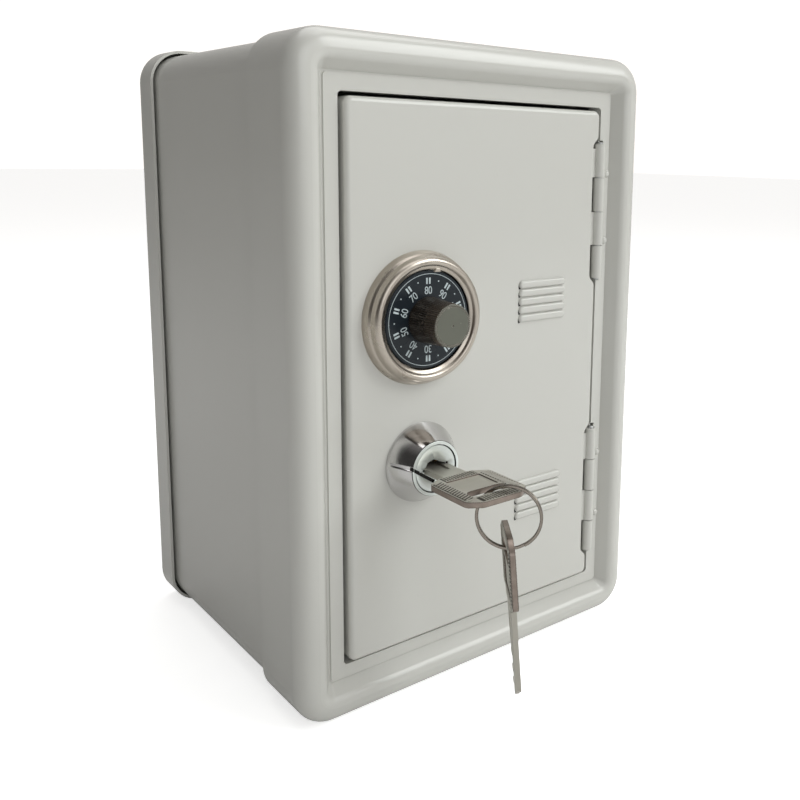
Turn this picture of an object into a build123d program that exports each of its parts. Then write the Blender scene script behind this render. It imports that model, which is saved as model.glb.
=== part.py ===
from build123d import *
import os
from math import cos, radians, sin, sqrt

# A small pressed-steel toy safe, in millimetres. Origin: on the table, on the middle of the width,
# 50 behind the crest of the front. +Z is up and -Y is the door side, so +X is to the right of
# someone facing the door.

# Case
case_width = 120.0
case_height = 180.0
front_y = -50.0  # crest of the bead round the front
back_y = 52.0  # outside of the rear cover
sheet = 0.8
case_corner = 10.0
wrap_gap = 1.6  # how far the body sheet sits inside the case outline
seam_width = 8.0

# Front frame
flange_rear_y = -26.8
land_y = -46.0  # flat border round the door
bead_round = 5.2
bead_inner = 6.8  # start of the bead's inner slope, measured in from the case side
bead_crest_round = 3.0
valley_in = 10.0
valley_depth = 4.4
land_in = 10.5
opening_half_width = 45.6
opening_low = 14.0
opening_high = 165.2
return_y = -41.0  # rear edge of the returns round the opening and round the door

# Rear cover
cover_front_y = 41.3
cover_round = 1.8

# Coin slot in the top
coin_slot_length = 34.0
coin_slot_width = 4.8
coin_slot_y = 4.0

# Door
door_left = -44.6
door_right = 43.6
door_low = 15.0
door_high = 164.1
door_y = -48.0
door_round = 1.4
door_corner = 2.0
notch_depth = 2.0

# Hinges
hinge_x = 44.6
hinge_y = -47.0
knuckle_radius = 1.8
pin_radius = 1.0
pin_clearance = 0.05
knuckle_length = 10.4
knuckle_count = 4
knuckle_gap = 0.24
hinge_bottoms = {"upper": 112.8, "lower": 22.6}
leaf_thickness = 0.7
leaf_front_y = -45.0
leaf_rear_y = -41.4
leaf_margin = 1.6  # how far the leaf's plate stops short of the knuckles' ends

# Dial and lock, on one vertical line
column_x = -22.4
dial_z = 107.0
lock_z = 67.0

# Dial
ring_base_radius = 18.2
ring_inner_radius = 13.5
ring_tab_radius = 15.2
ring_tab_turns = (0.0, 120.0, 240.0)
ring_tab_width = 3.0
ring_tab_thickness = 0.6
disc_radius = 13.2
disc_y = -51.5
disc_thickness = 1.2
knob_y = -62.5
knob_base_radius = 6.4
knob_front_radius = 5.6
spindle_radius = 2.0
spindle_rear_y = -43.6

# Lock
cone_y = -55.5
cone_base_radius = 11.2
cone_front_radius = 7.6
barrel_radius = 6.0
barrel_rear_y = -37.0
plug_head_radius = 6.5
plug_radius = 4.25
bore_radius = 4.3
keyway_width = 6.6
keyway_height = 2.3
keyway_end_y = -38.7
wafer_count = 4
wafer_first_y = -50.4
wafer_pitch = 2.6
wafer_thickness = 0.6
wafer_half_width = 3.7
wafer_half_height = 1.88
lug_left, lug_right, lug_top = 0.9, 1.7, 2.7
spring_left = -2.5
spring_coil_radius = 0.28
spring_wire_radius = 0.08
spring_coils = 6
tail_side = 4.6
cam_thickness = 1.5
cam_reach = 27.0
cam_width = 9.0
cam_joggle = 3.6

# Keys and their ring
key_thickness = 1.5
bow_length = 20.0
bow_width = 19.2
neck_length = 8.5
neck_width = 7.6
blade_length = 16.4
blade_width = 6.0
strip_width = 4.2  # metal between the bow's slot and its outer end
key_slot_width = 3.6
key_slot_length = 12.3
ring_middle_radius = 8.2
ring_band_height = 0.8
ring_band_width = 1.0
ring_turn = -45.0  # how far the hanging ring is turned from the door's plane
ring_hang = 6.2  # how far the ring's centre hangs below the lock's axis
spare_room = 0.9  # from the middle of the ring's band up to the spare key's slot edge
spare_turn = 57.0  # of the spare key's plate, from the door's plane
spare_lean = 4.5  # of the spare key to the side


def facing(y, x=0.0, z=0.0):
    """A drawing plane parallel to the door: its x is +X, its y is +Z, and it looks out to -Y."""
    return Plane(origin=(x, y, z), x_dir=(1, 0, 0), z_dir=(0, -1, 0))


def along_y(sketch, start_y, end_y, x=0.0, z=0.0):
    """Extrudes a sketch drawn in the door's plane from one depth to another."""
    return extrude(facing(end_y, x, z) * sketch, end_y - start_y)


def block(x0, x1, y0, y1, z0, z1):
    middle = ((x0 + x1) / 2, (y0 + y1) / 2, (z0 + z1) / 2)
    return Pos(*middle) * Box(x1 - x0, y1 - y0, z1 - z0)


def rod(radius, start_y, end_y, x=column_x, z=0.0):
    return along_y(Circle(radius), start_y, end_y, x, z)


def turned(points, x, z):
    """Revolves an outline of (radius, y) points about the line along Y at x, z."""
    outline = make_face(Polyline(*[(radius, y) for radius, y in points], close=True))
    return Pos(x, 0, z) * revolve(outline, Axis.Y)


def case_outline(inset, radius=None):
    corner = case_corner - inset if radius is None else radius
    return RectangleRounded(case_width - 2 * inset, case_height - 2 * inset, corner)


def front_edges(solid):
    return solid.faces().sort_by(Axis.Y)[0].edges()


def frame_form(skin):
    """The frame's outside when skin is 0, and its inside when skin is the sheet's thickness."""
    middle = case_height / 2
    form = along_y(case_outline(skin), front_y + skin, flange_rear_y, z=middle)
    form = fillet(front_edges(form), bead_round - skin)
    slope = valley_in - bead_inner
    run = sqrt(slope**2 + valley_depth**2)
    shift = skin * run / valley_depth
    depth = valley_depth + skin
    start = bead_inner - shift
    end = start + slope * depth / valley_depth
    mouth = facing(front_y, z=middle) * case_outline(start)
    floor = facing(front_y + depth, z=middle) * case_outline(end, 1.0)
    form -= loft([mouth, floor])
    if skin:
        crest = form.edges().filter_by_position(Axis.Y, front_y + skin - 0.01, front_y + skin + 0.01)
    else:
        crest = form.edges().filter_by_position(Axis.Y, front_y - 0.01, front_y + 0.01)
    inner_crest = [e for e in crest if abs(e.center().X) < case_width / 2 - bead_round - 0.2]
    inner_crest = [e for e in inner_crest if abs(e.center().Z - middle) < middle - bead_round - 0.2]
    form = fillet(inner_crest, bead_crest_round - skin)
    land = along_y(case_outline(land_in + skin, 1.0), land_y + skin, front_y + depth + 0.5, z=middle)
    return form + land


def opening_sketch(growth, corner):
    width = 2 * (opening_half_width + growth)
    height = opening_high - opening_low + 2 * growth
    return RectangleRounded(width, height, corner)


def hinge_spans(growth):
    """Heights that each hinge takes up, made longer by growth at both ends."""
    length = knuckle_length * knuckle_count
    return [(low - growth, low + length + growth) for low in hinge_bottoms.values()]


def front_frame():
    frame = frame_form(0.0) - frame_form(sheet)
    centre = (opening_low + opening_high) / 2
    frame -= along_y(opening_sketch(0.0, 1.2), front_y - 1, flange_rear_y + 1, z=centre)
    returns = opening_sketch(sheet, 2.0) - opening_sketch(0.0, 1.2)
    frame += along_y(returns, land_y + 0.4, return_y, z=centre)
    hem = case_outline(sheet - 0.05) - case_outline(wrap_gap - 0.05)
    frame += along_y(hem, flange_rear_y - 4.2, flange_rear_y, z=case_height / 2)
    for low, high in hinge_spans(0.9):
        frame -= block(opening_half_width - 1, hinge_x + 2.3, land_y - 1, leaf_front_y - 0.1, low, high)
    return frame


def body_wrap():
    """The bent sheet, turned in at the back, with a folded seam underneath and the coin slot on top."""
    middle = case_height / 2
    rear = back_y - sheet
    body = along_y(case_outline(wrap_gap), land_y + sheet + 0.4, rear, z=middle)
    body = fillet(body.faces().sort_by(Axis.Y)[-1].edges(), cover_round - sheet - 0.1)
    inside = along_y(case_outline(wrap_gap + sheet), land_y - 1, rear - sheet, z=middle)
    body -= fillet(inside.faces().sort_by(Axis.Y)[-1].edges(), cover_round - 2 * sheet - 0.1)
    body -= along_y(case_outline(wrap_gap + 8.0, 3.0), rear - sheet - 1, rear + 1, z=middle)
    half = seam_width / 2
    seam = block(-half, half, flange_rear_y + 0.4, cover_front_y - 0.4, 0, wrap_gap + 0.3)
    body += chamfer(seam.edges().filter_by(Axis.Y).group_by(Axis.Z)[0], 0.4)
    top = case_height - wrap_gap
    lip = SlotOverall(coin_slot_length + 1.6, coin_slot_width + 1.6)
    body += Pos(0, coin_slot_y, top - 1.2) * extrude(lip, 1.0, both=True)
    hole = SlotOverall(coin_slot_length, coin_slot_width)
    return body - Pos(0, coin_slot_y, top) * extrude(hole, 4.0, both=True)


def rear_cover():
    middle = case_height / 2
    outside = along_y(case_outline(0.0), cover_front_y, back_y, z=middle)
    outside = fillet(outside.faces().sort_by(Axis.Y)[-1].edges(), cover_round)
    inside = along_y(case_outline(sheet), cover_front_y - 1, back_y - sheet, z=middle)
    inside = fillet(inside.faces().sort_by(Axis.Y)[-1].edges(), cover_round - sheet)
    return outside - inside


def door_outline():
    """The door's outline with a shallow notch in its hinge edge for each hinge."""
    points = [(door_left, door_low), (door_right, door_low)]
    for low, high in sorted(hinge_spans(1.4)):
        points += [(door_right, low), (door_right - notch_depth, low + notch_depth)]
        points += [(door_right - notch_depth, high - notch_depth), (door_right, high)]
    points += [(door_right, door_high), (door_left, door_high)]
    outline = make_face(Polyline(*points, close=True))
    return fillet(outline.vertices(), door_corner)


def louvre_spots():
    """Centres of the ribs in the two louvre groups, beside the dial and beside the lock."""
    rows = 5
    pitch = 2.5
    for group_z in (108.2, 47.4):
        for row in range(rows):
            yield 21.1, group_z + (row - (rows - 1) / 2) * pitch


def door_panel():
    outline = door_outline()
    outside = along_y(outline, door_y, return_y)
    outside = fillet(front_edges(outside), door_round)
    inside = along_y(offset(outline, -sheet), door_y + sheet, return_y + 1)
    inside = fillet(front_edges(inside), door_round - sheet)
    door = outside - inside
    for x, z in louvre_spots():
        rib = along_y(SlotOverall(18.2, 2.3), door_y - 0.85, door_y + 0.3, x, z)
        door += fillet(front_edges(rib), 0.8)
        door -= along_y(SlotOverall(16.8, 1.0), door_y - 0.2, door_y + sheet + 0.2, x, z)
    door -= rod(spindle_radius + 0.15, door_y - 1, door_y + 2, z=dial_z)
    door -= rod(barrel_radius + 0.1, door_y - 1, door_y + 2, z=lock_z)
    near, far = ring_tab_radius - 0.1, ring_tab_radius + ring_tab_thickness + 0.1
    half = ring_tab_width / 2 + 0.1
    for turn in ring_tab_turns:
        slot = block(near, far, door_y - 1, door_y + 2, -half, half)
        door -= Pos(column_x, 0, dial_z) * Rot(0, turn, 0) * slot
    return door


def knuckle_heights(low, on_door):
    """Bottom and top of each knuckle of one leaf; the door's are the first and third from the top."""
    for place in range(knuckle_count):
        if (place % 2 == 1) == on_door:
            bottom = low + place * knuckle_length
            yield bottom + knuckle_gap / 2, bottom + knuckle_length - knuckle_gap / 2


def hinge_leaf(low, on_door):
    """A plate against the door's or the frame's return, with two rolled knuckles."""
    if on_door:
        near = door_right - notch_depth
        plate_x = (near, near + leaf_thickness)
    else:
        plate_x = (opening_half_width - leaf_thickness, opening_half_width)
    plate_low = low + leaf_margin
    plate_high = low + knuckle_length * knuckle_count - leaf_margin
    leaf = block(*plate_x, leaf_front_y, leaf_rear_y, plate_low, plate_high)
    for bottom, top in knuckle_heights(low, on_door):
        knuckle = Pos(hinge_x, hinge_y, bottom) * extrude(Circle(knuckle_radius), top - bottom)
        ends = (max(bottom, plate_low), min(top, plate_high))
        if on_door:
            knuckle += block(plate_x[0], hinge_x - 1.2, hinge_y, hinge_y + leaf_thickness, *ends)
            knuckle += block(*plate_x, hinge_y, leaf_front_y + 0.5, *ends)
        else:
            knuckle += block(*plate_x, hinge_y + 1.2, leaf_front_y + 0.5, *ends)
        bore = extrude(Circle(pin_radius + pin_clearance), top - bottom + 2)
        bore = Pos(hinge_x, hinge_y, bottom - 1) * bore
        leaf += knuckle - bore
    return leaf


def hinge_pin(low):
    length = knuckle_length * knuckle_count
    pin = Pos(hinge_x, hinge_y, low - 0.5) * extrude(Circle(pin_radius), length + 0.9)
    return chamfer(pin.edges().filter_by(GeomType.CIRCLE), 0.25)


def dial_ring():
    """A pressed ring: skirt, small step, rounded crest and an inner slope down to the disc."""
    outside = [(ring_base_radius, door_y), (17.5, -50.0), (17.1, -50.4), (16.9, -51.4), (16.6, -52.3)]
    outside += [(16.1, -52.85), (15.5, -53.0), (15.0, -52.85), (14.5, -52.3), (ring_inner_radius, -51.6)]
    inside = [(ring_inner_radius, -50.9), (14.3, -51.4), (15.2, -52.1), (15.8, -52.1), (16.2, -51.2)]
    inside += [(16.5, -50.1), (17.4, door_y)]
    ring = turned(outside + inside, column_x, dial_z)
    floor = rod(17.3, door_y - 0.7, door_y, z=dial_z) - rod(10.5, door_y - 1, door_y + 1, z=dial_z)
    ring += floor
    near, half = ring_tab_radius, ring_tab_width / 2
    bend_y = door_y + sheet + 0.6
    end_y = bend_y + ring_tab_thickness
    for turn in ring_tab_turns:
        tab = block(near, near + ring_tab_thickness, door_y - 0.3, end_y, -half, half)
        tab += block(near, near + 2.6, bend_y, end_y, -half, half)
        ring += Pos(column_x, 0, dial_z) * Rot(0, turn, 0) * tab
    return ring


def dial_disc():
    disc = rod(disc_radius, disc_y, disc_y + disc_thickness, z=dial_z)
    disc += rod(4.2, disc_y + disc_thickness - 0.1, door_y - 0.1, z=dial_z)
    disc -= rod(spindle_radius, disc_y - 1, door_y + 1, z=dial_z)
    return disc


def dial_knob():
    """A tapered knob with a blind hole for the spindle."""
    taper = facing(disc_y, column_x, dial_z) * Circle(knob_base_radius)
    face = facing(knob_y, column_x, dial_z) * Circle(knob_front_radius)
    knob = loft([taper, face])
    knob = chamfer(front_edges(knob), 0.5)
    knob -= rod(spindle_radius, disc_y - 7, disc_y + 1, z=dial_z)
    return knob


def dial_spindle():
    spindle = rod(spindle_radius, disc_y - 7, spindle_rear_y, z=dial_z)
    groove_y = door_y + sheet + 1.1
    groove = rod(3.0, groove_y, groove_y + 0.8, z=dial_z) - rod(1.5, groove_y, groove_y + 0.8, z=dial_z)
    return spindle - groove


def dial_wave_washer():
    """A dished spring washer between the door and the retaining clip."""
    outer, inner, rise, stock = 5.2, spindle_radius + 0.15, 0.6, 0.3
    back = door_y + sheet
    points = [(outer, back + 0.02), (inner, back + rise)]
    points += [(inner, back + rise + stock), (outer, back + stock)]
    return turned(points, column_x, dial_z)


def dial_retaining_clip():
    """An E-clip in the spindle's groove."""
    groove_y = door_y + sheet + 1.15
    clip = rod(4.2, groove_y, groove_y + 0.7, z=dial_z) - rod(1.55, groove_y - 1, groove_y + 2, z=dial_z)
    mouth = block(column_x - 1.3, column_x + 1.3, groove_y - 1, groove_y + 2, dial_z - 5, dial_z)
    notch = block(1.9, 3.1, groove_y - 1, groove_y + 2, -0.5, 0.5)
    for turn in (60.0, 180.0, 300.0):
        clip -= Pos(column_x, 0, dial_z) * Rot(0, turn, 0) * notch
    return clip - mouth


def lock_housing():
    """Cone on the outside, threaded barrel through the door, stepped bore for the plug."""
    outline = [(0, cone_y), (cone_front_radius - 0.5, cone_y), (cone_front_radius, cone_y + 0.4)]
    outline += [(cone_base_radius, door_y - 0.6), (cone_base_radius, door_y), (barrel_radius, door_y)]
    outline += [(barrel_radius, barrel_rear_y - 0.5), (barrel_radius - 0.5, barrel_rear_y)]
    outline += [(0, barrel_rear_y)]
    housing = turned(outline, column_x, lock_z)
    housing -= rod(plug_head_radius + 0.08, cone_y - 1, cone_y + 1.8, z=lock_z)
    housing -= rod(bore_radius, cone_y, barrel_rear_y + 1, z=lock_z)
    for side in (-1, 1):
        groove = block(-1.0, 1.0, -53.0, -40.0, -2.1, 2.1)
        housing -= Pos(column_x + side * 4.1, 0, lock_z) * groove
    return housing


def lock_plug():
    """Turning core: wide head, keyway, slots for the wafers, square tail for the cam."""
    plug = rod(plug_head_radius, cone_y + 0.25, cone_y + 1.75, z=lock_z)
    plug += rod(plug_radius, cone_y + 1, barrel_rear_y + 0.1, z=lock_z)
    tail = block(-tail_side / 2, tail_side / 2, barrel_rear_y, cam_rear_y(), -tail_side / 2, tail_side / 2)
    plug += Pos(column_x, 0, lock_z) * tail
    half_width, half_height = keyway_width / 2, keyway_height / 2
    plug -= Pos(column_x, 0, lock_z) * block(
        -half_width, half_width, cone_y - 1, keyway_end_y, -half_height, half_height
    )
    reach = wafer_thickness / 2 + 0.08
    for y in wafer_places():
        room = block(-5, 5, y - reach, y + reach, -1.95, 1.95)
        room += block(spring_left - 0.08, lug_right + 0.4, y - 0.42, y + 0.42, 1.9, lug_top + 0.08)
        plug -= Pos(column_x, 0, lock_z) * room
    plug -= rod(1.3, cam_rear_y() - 3.2, cam_rear_y() + 1, z=lock_z)
    return plug


def wafer_places():
    return [wafer_first_y + wafer_pitch * index for index in range(wafer_count)]


def lock_wafers():
    """Thin plates with a window for the key and a lug for the spring, one in each slot of the plug."""
    wafers = []
    reach = wafer_thickness / 2
    for y in wafer_places():
        wide, tall = wafer_half_width, wafer_half_height
        plate = block(-wide, wide, y - reach, y + reach, -tall, tall)
        plate += block(lug_left, lug_right, y - reach, y + reach, tall - 0.1, lug_top)
        plate -= block(-3.15, 3.15, y - 1, y + 1, -1.12, 1.12)
        wafers.append(Pos(column_x, 0, lock_z) * plate)
    return Compound(children=wafers)


def wafer_springs():
    """A small coil spring beside each wafer's lug, lying along the wafer."""
    springs = []
    length = lug_left - spring_left - 0.1 - 2 * spring_wire_radius
    height = (wafer_half_height + lug_top) / 2 + 0.04
    coil = Helix(length / spring_coils, length, spring_coil_radius)
    start = Plane(origin=coil @ 0, z_dir=coil % 0)
    wire = sweep(start * Circle(spring_wire_radius), path=coil, is_frenet=True)
    for y in wafer_places():
        left = column_x + spring_left + 0.05 + spring_wire_radius
        springs.append(Pos(left, y, lock_z + height) * Rot(0, 90, 0) * wire)
    return Compound(children=springs)


def lock_washer():
    back = door_y + sheet
    return rod(8.8, back, back + 0.6, z=lock_z) - rod(barrel_radius + 0.1, back - 1, back + 2, z=lock_z)


def lock_nut():
    start = door_y + sheet + 0.6
    nut = along_y(RegularPolygon(7.5, 6, major_radius=False), start, start + 2.6, column_x, lock_z)
    return nut - rod(barrel_radius + 0.02, start - 1, start + 4, z=lock_z)


def cam_rear_y():
    return barrel_rear_y + 0.1 + cam_thickness


def lock_cam():
    """Bolt arm, hanging down when unlocked; its outer part steps forward to the frame's return."""
    near_y = barrel_rear_y + 0.1
    far_y = near_y - cam_joggle
    hub = rod(6.2, near_y, near_y + cam_thickness, z=lock_z)
    half = cam_width / 2
    sides = (column_x - half, column_x + half)
    inner = block(*sides, near_y, near_y + cam_thickness, lock_z - 11.0, lock_z)
    outer = block(*sides, far_y, far_y + cam_thickness, lock_z - cam_reach, lock_z - 12.4)
    tip = outer.edges().filter_by(Axis.Y).group_by(Axis.Z)[0]
    outer = fillet(tip, 2.4)
    step = make_face(
        Polyline(
            (near_y, lock_z - 9.9),
            (near_y + cam_thickness, lock_z - 10.9),
            (far_y + cam_thickness, lock_z - 13.5),
            (far_y, lock_z - 12.5),
            close=True,
        )
    )
    side = Plane(origin=(column_x - half, 0, 0), x_dir=(0, 1, 0), z_dir=(1, 0, 0))
    cam = hub + inner + outer + extrude(side * step, cam_width)
    square = tail_side / 2 + 0.03
    return cam - Pos(column_x, 0, lock_z) * block(-square, square, near_y - 1, near_y + 3, -square, square)


def cam_screw():
    head_y = cam_rear_y() + 0.02
    screw = rod(3.3, head_y, head_y + 1.6, z=lock_z)
    screw = fillet(screw.faces().sort_by(Axis.Y)[-1].edges(), 0.7)
    for turn in (0.0, 90.0):
        cross = block(-1.7, 1.7, head_y + 0.7, head_y + 2, -0.35, 0.35)
        screw -= Pos(column_x, 0, lock_z) * Rot(0, turn, 0) * cross
    return screw + rod(1.25, head_y - 3.0, head_y + 0.1, z=lock_z)


def key_blank():
    """A key lying flat, its shoulder at the origin, bow towards -Y and blade towards +Y."""
    half, far = bow_width / 2, -(neck_length + bow_length)
    near = -neck_length
    corners = [(-half + 4.6, near), (half - 4.6, near), (half, near - 2.6), (half, far + 2.4)]
    corners += [(half - 3.6, far), (-half + 3.6, far), (-half, far + 2.4), (-half, near - 2.6)]
    bow = fillet(make_face(Polyline(*corners, close=True)).vertices(), 1.4)
    slot_y = far + strip_width + key_slot_width / 2
    bow -= Pos(0, slot_y) * SlotOverall(key_slot_length, key_slot_width)
    neck = Pos(0, near / 2 - 0.2) * Rectangle(neck_width, neck_length + 0.4)
    tip = blade_width / 2
    cuts = [(tip, 0), (tip, 2.2), (tip - 1.1, 3.3), (tip - 1.1, 4.4), (tip - 0.3, 5.4), (tip - 0.3, 6.2)]
    cuts += [(tip - 1.6, 7.4), (tip - 1.6, 8.6), (tip - 0.6, 9.8), (tip - 0.6, 10.8), (tip - 1.3, 11.8)]
    cuts += [(tip - 1.3, 12.8), (tip - 0.4, 13.8), (1.0, blade_length), (-1.0, blade_length)]
    blade = make_face(Polyline(*cuts, (-tip, blade_length - 2.0), (-tip, 0), close=True))
    flat = bow + neck + blade
    key = extrude(flat, key_thickness / 2, both=True)
    for side in (-1, 1):
        key -= Pos(0, near - 7.6, side * key_thickness / 2) * Box(10.8, 8.0, 0.5)
        groove = Pos(side * 1.0, blade_length / 2, side * key_thickness / 2)
        key -= groove * Box(1.2, blade_length + 8, 0.7)
    return key


def key():
    return Pos(column_x, cone_y + 0.2, lock_z) * key_blank()


def ring_centre():
    """The ring passes through the middle of the slot and hangs round the bow's outer strip."""
    slot_y = cone_y + 0.2 - neck_length - bow_length + strip_width + key_slot_width / 2
    reach = sqrt(ring_middle_radius**2 - ring_hang**2)
    direction = (cos(radians(ring_turn)), sin(radians(ring_turn)))
    return (column_x + reach * direction[0], slot_y + reach * direction[1], lock_z - ring_hang)


def key_ring():
    """A flat band of two close turns, drawn as one ring with a fine groove between the turns."""
    half_height, half_width = ring_band_height / 2, ring_band_width / 2
    outer, inner = ring_middle_radius + half_height, ring_middle_radius - half_height
    points = [(inner, -half_width), (outer, -half_width), (outer, -0.08), (outer - 0.2, 0)]
    points += [(outer, 0.08), (outer, half_width), (inner, half_width)]
    band = revolve(make_face(Polyline(*points, close=True)), Axis.Y)
    return Pos(*ring_centre()) * Rot(0, 0, ring_turn) * band


def spare_key():
    """Hangs blade down from the ring's lowest point, its plate nearly square to the ring's band."""
    x, y, z = ring_centre()
    slot_edge = neck_length + bow_length - strip_width
    hang = Pos(0, 0, spare_room - slot_edge)
    upright = Rot(-90, 0, 0) * key_blank()
    band = Pos(x, y, z - ring_middle_radius)
    return band * Rot(0, 0, spare_turn) * Rot(-spare_lean, 0, 0) * hang * upright


def all_parts():
    parts = {
        "front_frame": front_frame(),
        "body_wrap": body_wrap(),
        "rear_cover": rear_cover(),
        "door_panel": door_panel(),
        "dial_ring": dial_ring(),
        "dial_disc": dial_disc(),
        "dial_knob": dial_knob(),
        "dial_spindle": dial_spindle(),
        "dial_wave_washer": dial_wave_washer(),
        "dial_retaining_clip": dial_retaining_clip(),
        "lock_housing": lock_housing(),
        "lock_plug": lock_plug(),
        "lock_wafers": lock_wafers(),
        "wafer_springs": wafer_springs(),
        "lock_washer": lock_washer(),
        "lock_nut": lock_nut(),
        "lock_cam": lock_cam(),
        "cam_screw": cam_screw(),
        "key": key(),
        "key_ring": key_ring(),
        "spare_key": spare_key(),
    }
    for name, low in hinge_bottoms.items():
        parts[f"{name}_door_leaf"] = hinge_leaf(low, on_door=True)
        parts[f"{name}_frame_leaf"] = hinge_leaf(low, on_door=False)
        parts[f"{name}_hinge_pin"] = hinge_pin(low)
    return parts


os.makedirs("parts", exist_ok=True)
for node, shape in all_parts().items():
    export_step(shape, f"parts/{node}.step")
print("ring centre", [round(value, 3) for value in ring_centre()])
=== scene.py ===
import math
import bmesh
import bpy
from mathutils import Matrix, Vector


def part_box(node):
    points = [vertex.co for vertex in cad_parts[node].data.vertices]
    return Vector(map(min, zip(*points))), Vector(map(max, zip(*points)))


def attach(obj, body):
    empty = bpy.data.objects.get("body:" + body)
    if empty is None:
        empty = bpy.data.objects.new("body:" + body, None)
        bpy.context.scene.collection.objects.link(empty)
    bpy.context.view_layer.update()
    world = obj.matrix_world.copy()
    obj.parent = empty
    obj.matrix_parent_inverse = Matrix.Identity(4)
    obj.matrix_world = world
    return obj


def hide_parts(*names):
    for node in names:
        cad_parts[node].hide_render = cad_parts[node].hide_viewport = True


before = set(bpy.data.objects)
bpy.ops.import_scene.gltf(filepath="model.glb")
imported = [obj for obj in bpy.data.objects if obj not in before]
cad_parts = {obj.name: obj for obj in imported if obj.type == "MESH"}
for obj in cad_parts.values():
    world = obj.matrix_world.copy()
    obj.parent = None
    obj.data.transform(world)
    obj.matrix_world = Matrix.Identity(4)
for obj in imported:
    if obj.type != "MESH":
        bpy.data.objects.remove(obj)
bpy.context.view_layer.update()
print("frame loaded:", len(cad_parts), "nodes")

mm = 0.001
full = 2 * math.pi


def middle(node):
    low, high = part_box(node)
    return (low + high) / 2


# small modelling helpers, most of them for edit mode

def startMesh(name):
    # one vertex at the origin, ready to be moved and extruded
    bpy.ops.object.select_all(action="DESELECT")
    bpy.ops.mesh.primitive_plane_add(size=mm)
    piece = bpy.context.active_object
    piece.name = name
    piece.data.name = name
    bpy.ops.object.mode_set(mode="EDIT")
    bpy.ops.mesh.select_mode(type="VERT")
    bpy.ops.mesh.select_all(action="SELECT")
    bpy.ops.mesh.merge(type="CENTER")
    return piece


def drawLine(points):
    # walks the single selected vertex through the points and leaves a chain of edges
    bpy.ops.transform.translate(value=points[0])
    for here, there in zip(points, points[1:]):
        bpy.ops.mesh.extrude_vertices_move(TRANSFORM_OT_translate={"value": there - here})


def closeLine(piece):
    # joins the chain's two ends with an edge
    pickVerts(piece, lambda vert: len(vert.link_edges) == 1)
    bpy.ops.mesh.edge_face_add()


def pickFaces(piece, test):
    # selects the faces whose centre and normal pass the test
    bpy.ops.mesh.select_mode(type="FACE")
    bpy.ops.mesh.select_all(action="DESELECT")
    mesh = bmesh.from_edit_mesh(piece.data)
    mesh.normal_update()
    for face in mesh.faces:
        if test(face.calc_center_median(), face.normal):
            face.select = True
    bmesh.update_edit_mesh(piece.data)


def pickVerts(piece, test):
    bpy.ops.mesh.select_mode(type="VERT")
    bpy.ops.mesh.select_all(action="DESELECT")
    mesh = bmesh.from_edit_mesh(piece.data)
    for vert in mesh.verts:
        if test(vert):
            vert.select = True
    mesh.select_flush_mode()
    bmesh.update_edit_mesh(piece.data)


def pickEdges(piece, test):
    bpy.ops.mesh.select_mode(type="EDGE")
    bpy.ops.mesh.select_all(action="DESELECT")
    mesh = bmesh.from_edit_mesh(piece.data)
    for edge in mesh.edges:
        if test(edge):
            edge.select = True
    bmesh.update_edit_mesh(piece.data)


def finishMesh(piece, smoothAngle=35):
    # welds, turns the normals outward and leaves edit mode
    bpy.ops.mesh.select_mode(type="VERT")
    bpy.ops.mesh.select_all(action="SELECT")
    bpy.ops.mesh.remove_doubles(threshold=0.002 * mm)
    bpy.ops.mesh.normals_make_consistent(inside=False)
    bpy.ops.object.mode_set(mode="OBJECT")
    bpy.ops.object.shade_smooth_by_angle(angle=math.radians(smoothAngle))
    return piece


def lathe(name, outline, centre, steps=96, closed=True, smoothAngle=35):
    # turns an outline of (radius, depth) in mm about a line along Y through centre
    piece = startMesh(name)
    drawLine([Vector((centre.x + radius * mm, depth * mm, centre.z)) for radius, depth in outline])
    if closed:
        closeLine(piece)
    bpy.ops.mesh.select_all(action="SELECT")
    bpy.ops.mesh.spin(steps=steps, angle=full, center=(centre.x, 0, centre.z), axis=(0, 1, 0))
    return finishMesh(piece, smoothAngle)


def sheetShape(name, outline, thickness):
    # a flat plate in the XY plane, outline in mm, centred on Z 0
    piece = startMesh(name)
    drawLine([Vector((x * mm, y * mm, -thickness / 2 * mm)) for x, y in outline])
    closeLine(piece)
    bpy.ops.mesh.select_all(action="SELECT")
    bpy.ops.mesh.edge_face_add()
    bpy.ops.mesh.extrude_region_move(TRANSFORM_OT_translate={"value": (0, 0, thickness * mm)})
    return finishMesh(piece)


def oblong(x, y, wide, high):
    # corners of a rectangle round its middle
    return [(x - wide / 2, y - high / 2), (x + wide / 2, y - high / 2),
            (x + wide / 2, y + high / 2), (x - wide / 2, y + high / 2)]


def cutAway(piece, cutter):
    # boolean difference; the cutter is used up
    select(piece)
    bpy.ops.object.modifier_add(type="BOOLEAN")
    cut = piece.modifiers[-1]
    cut.object = cutter
    cut.operation = "DIFFERENCE"
    cut.solver = "EXACT"
    bpy.ops.object.modifier_apply(modifier=cut.name)
    bpy.data.objects.remove(cutter)


def softenEdges(piece, width, segments=2, angle=35):
    select(piece)
    bpy.ops.object.modifier_add(type="BEVEL")
    bevel = piece.modifiers[-1]
    bevel.width = width * mm
    bevel.segments = segments
    bevel.limit_method = "ANGLE"
    bevel.angle_limit = math.radians(angle)
    bpy.ops.object.modifier_apply(modifier=bevel.name)
    bpy.ops.object.shade_smooth_by_angle(angle=math.radians(angle))


def select(*pieces):
    bpy.ops.object.select_all(action="DESELECT")
    for piece in pieces:
        piece.select_set(True)
    bpy.context.view_layer.objects.active = pieces[0]


def joinAll(name, pieces):
    select(*pieces)
    if len(pieces) > 1:
        bpy.ops.object.join()
    joined = bpy.context.active_object
    joined.name = name
    joined.data.name = name
    return joined


def copyOf(piece, name):
    twin = piece.copy()
    twin.data = piece.data.copy()
    twin.name = name
    twin.data.name = name
    bpy.context.scene.collection.objects.link(twin)
    return twin


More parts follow.
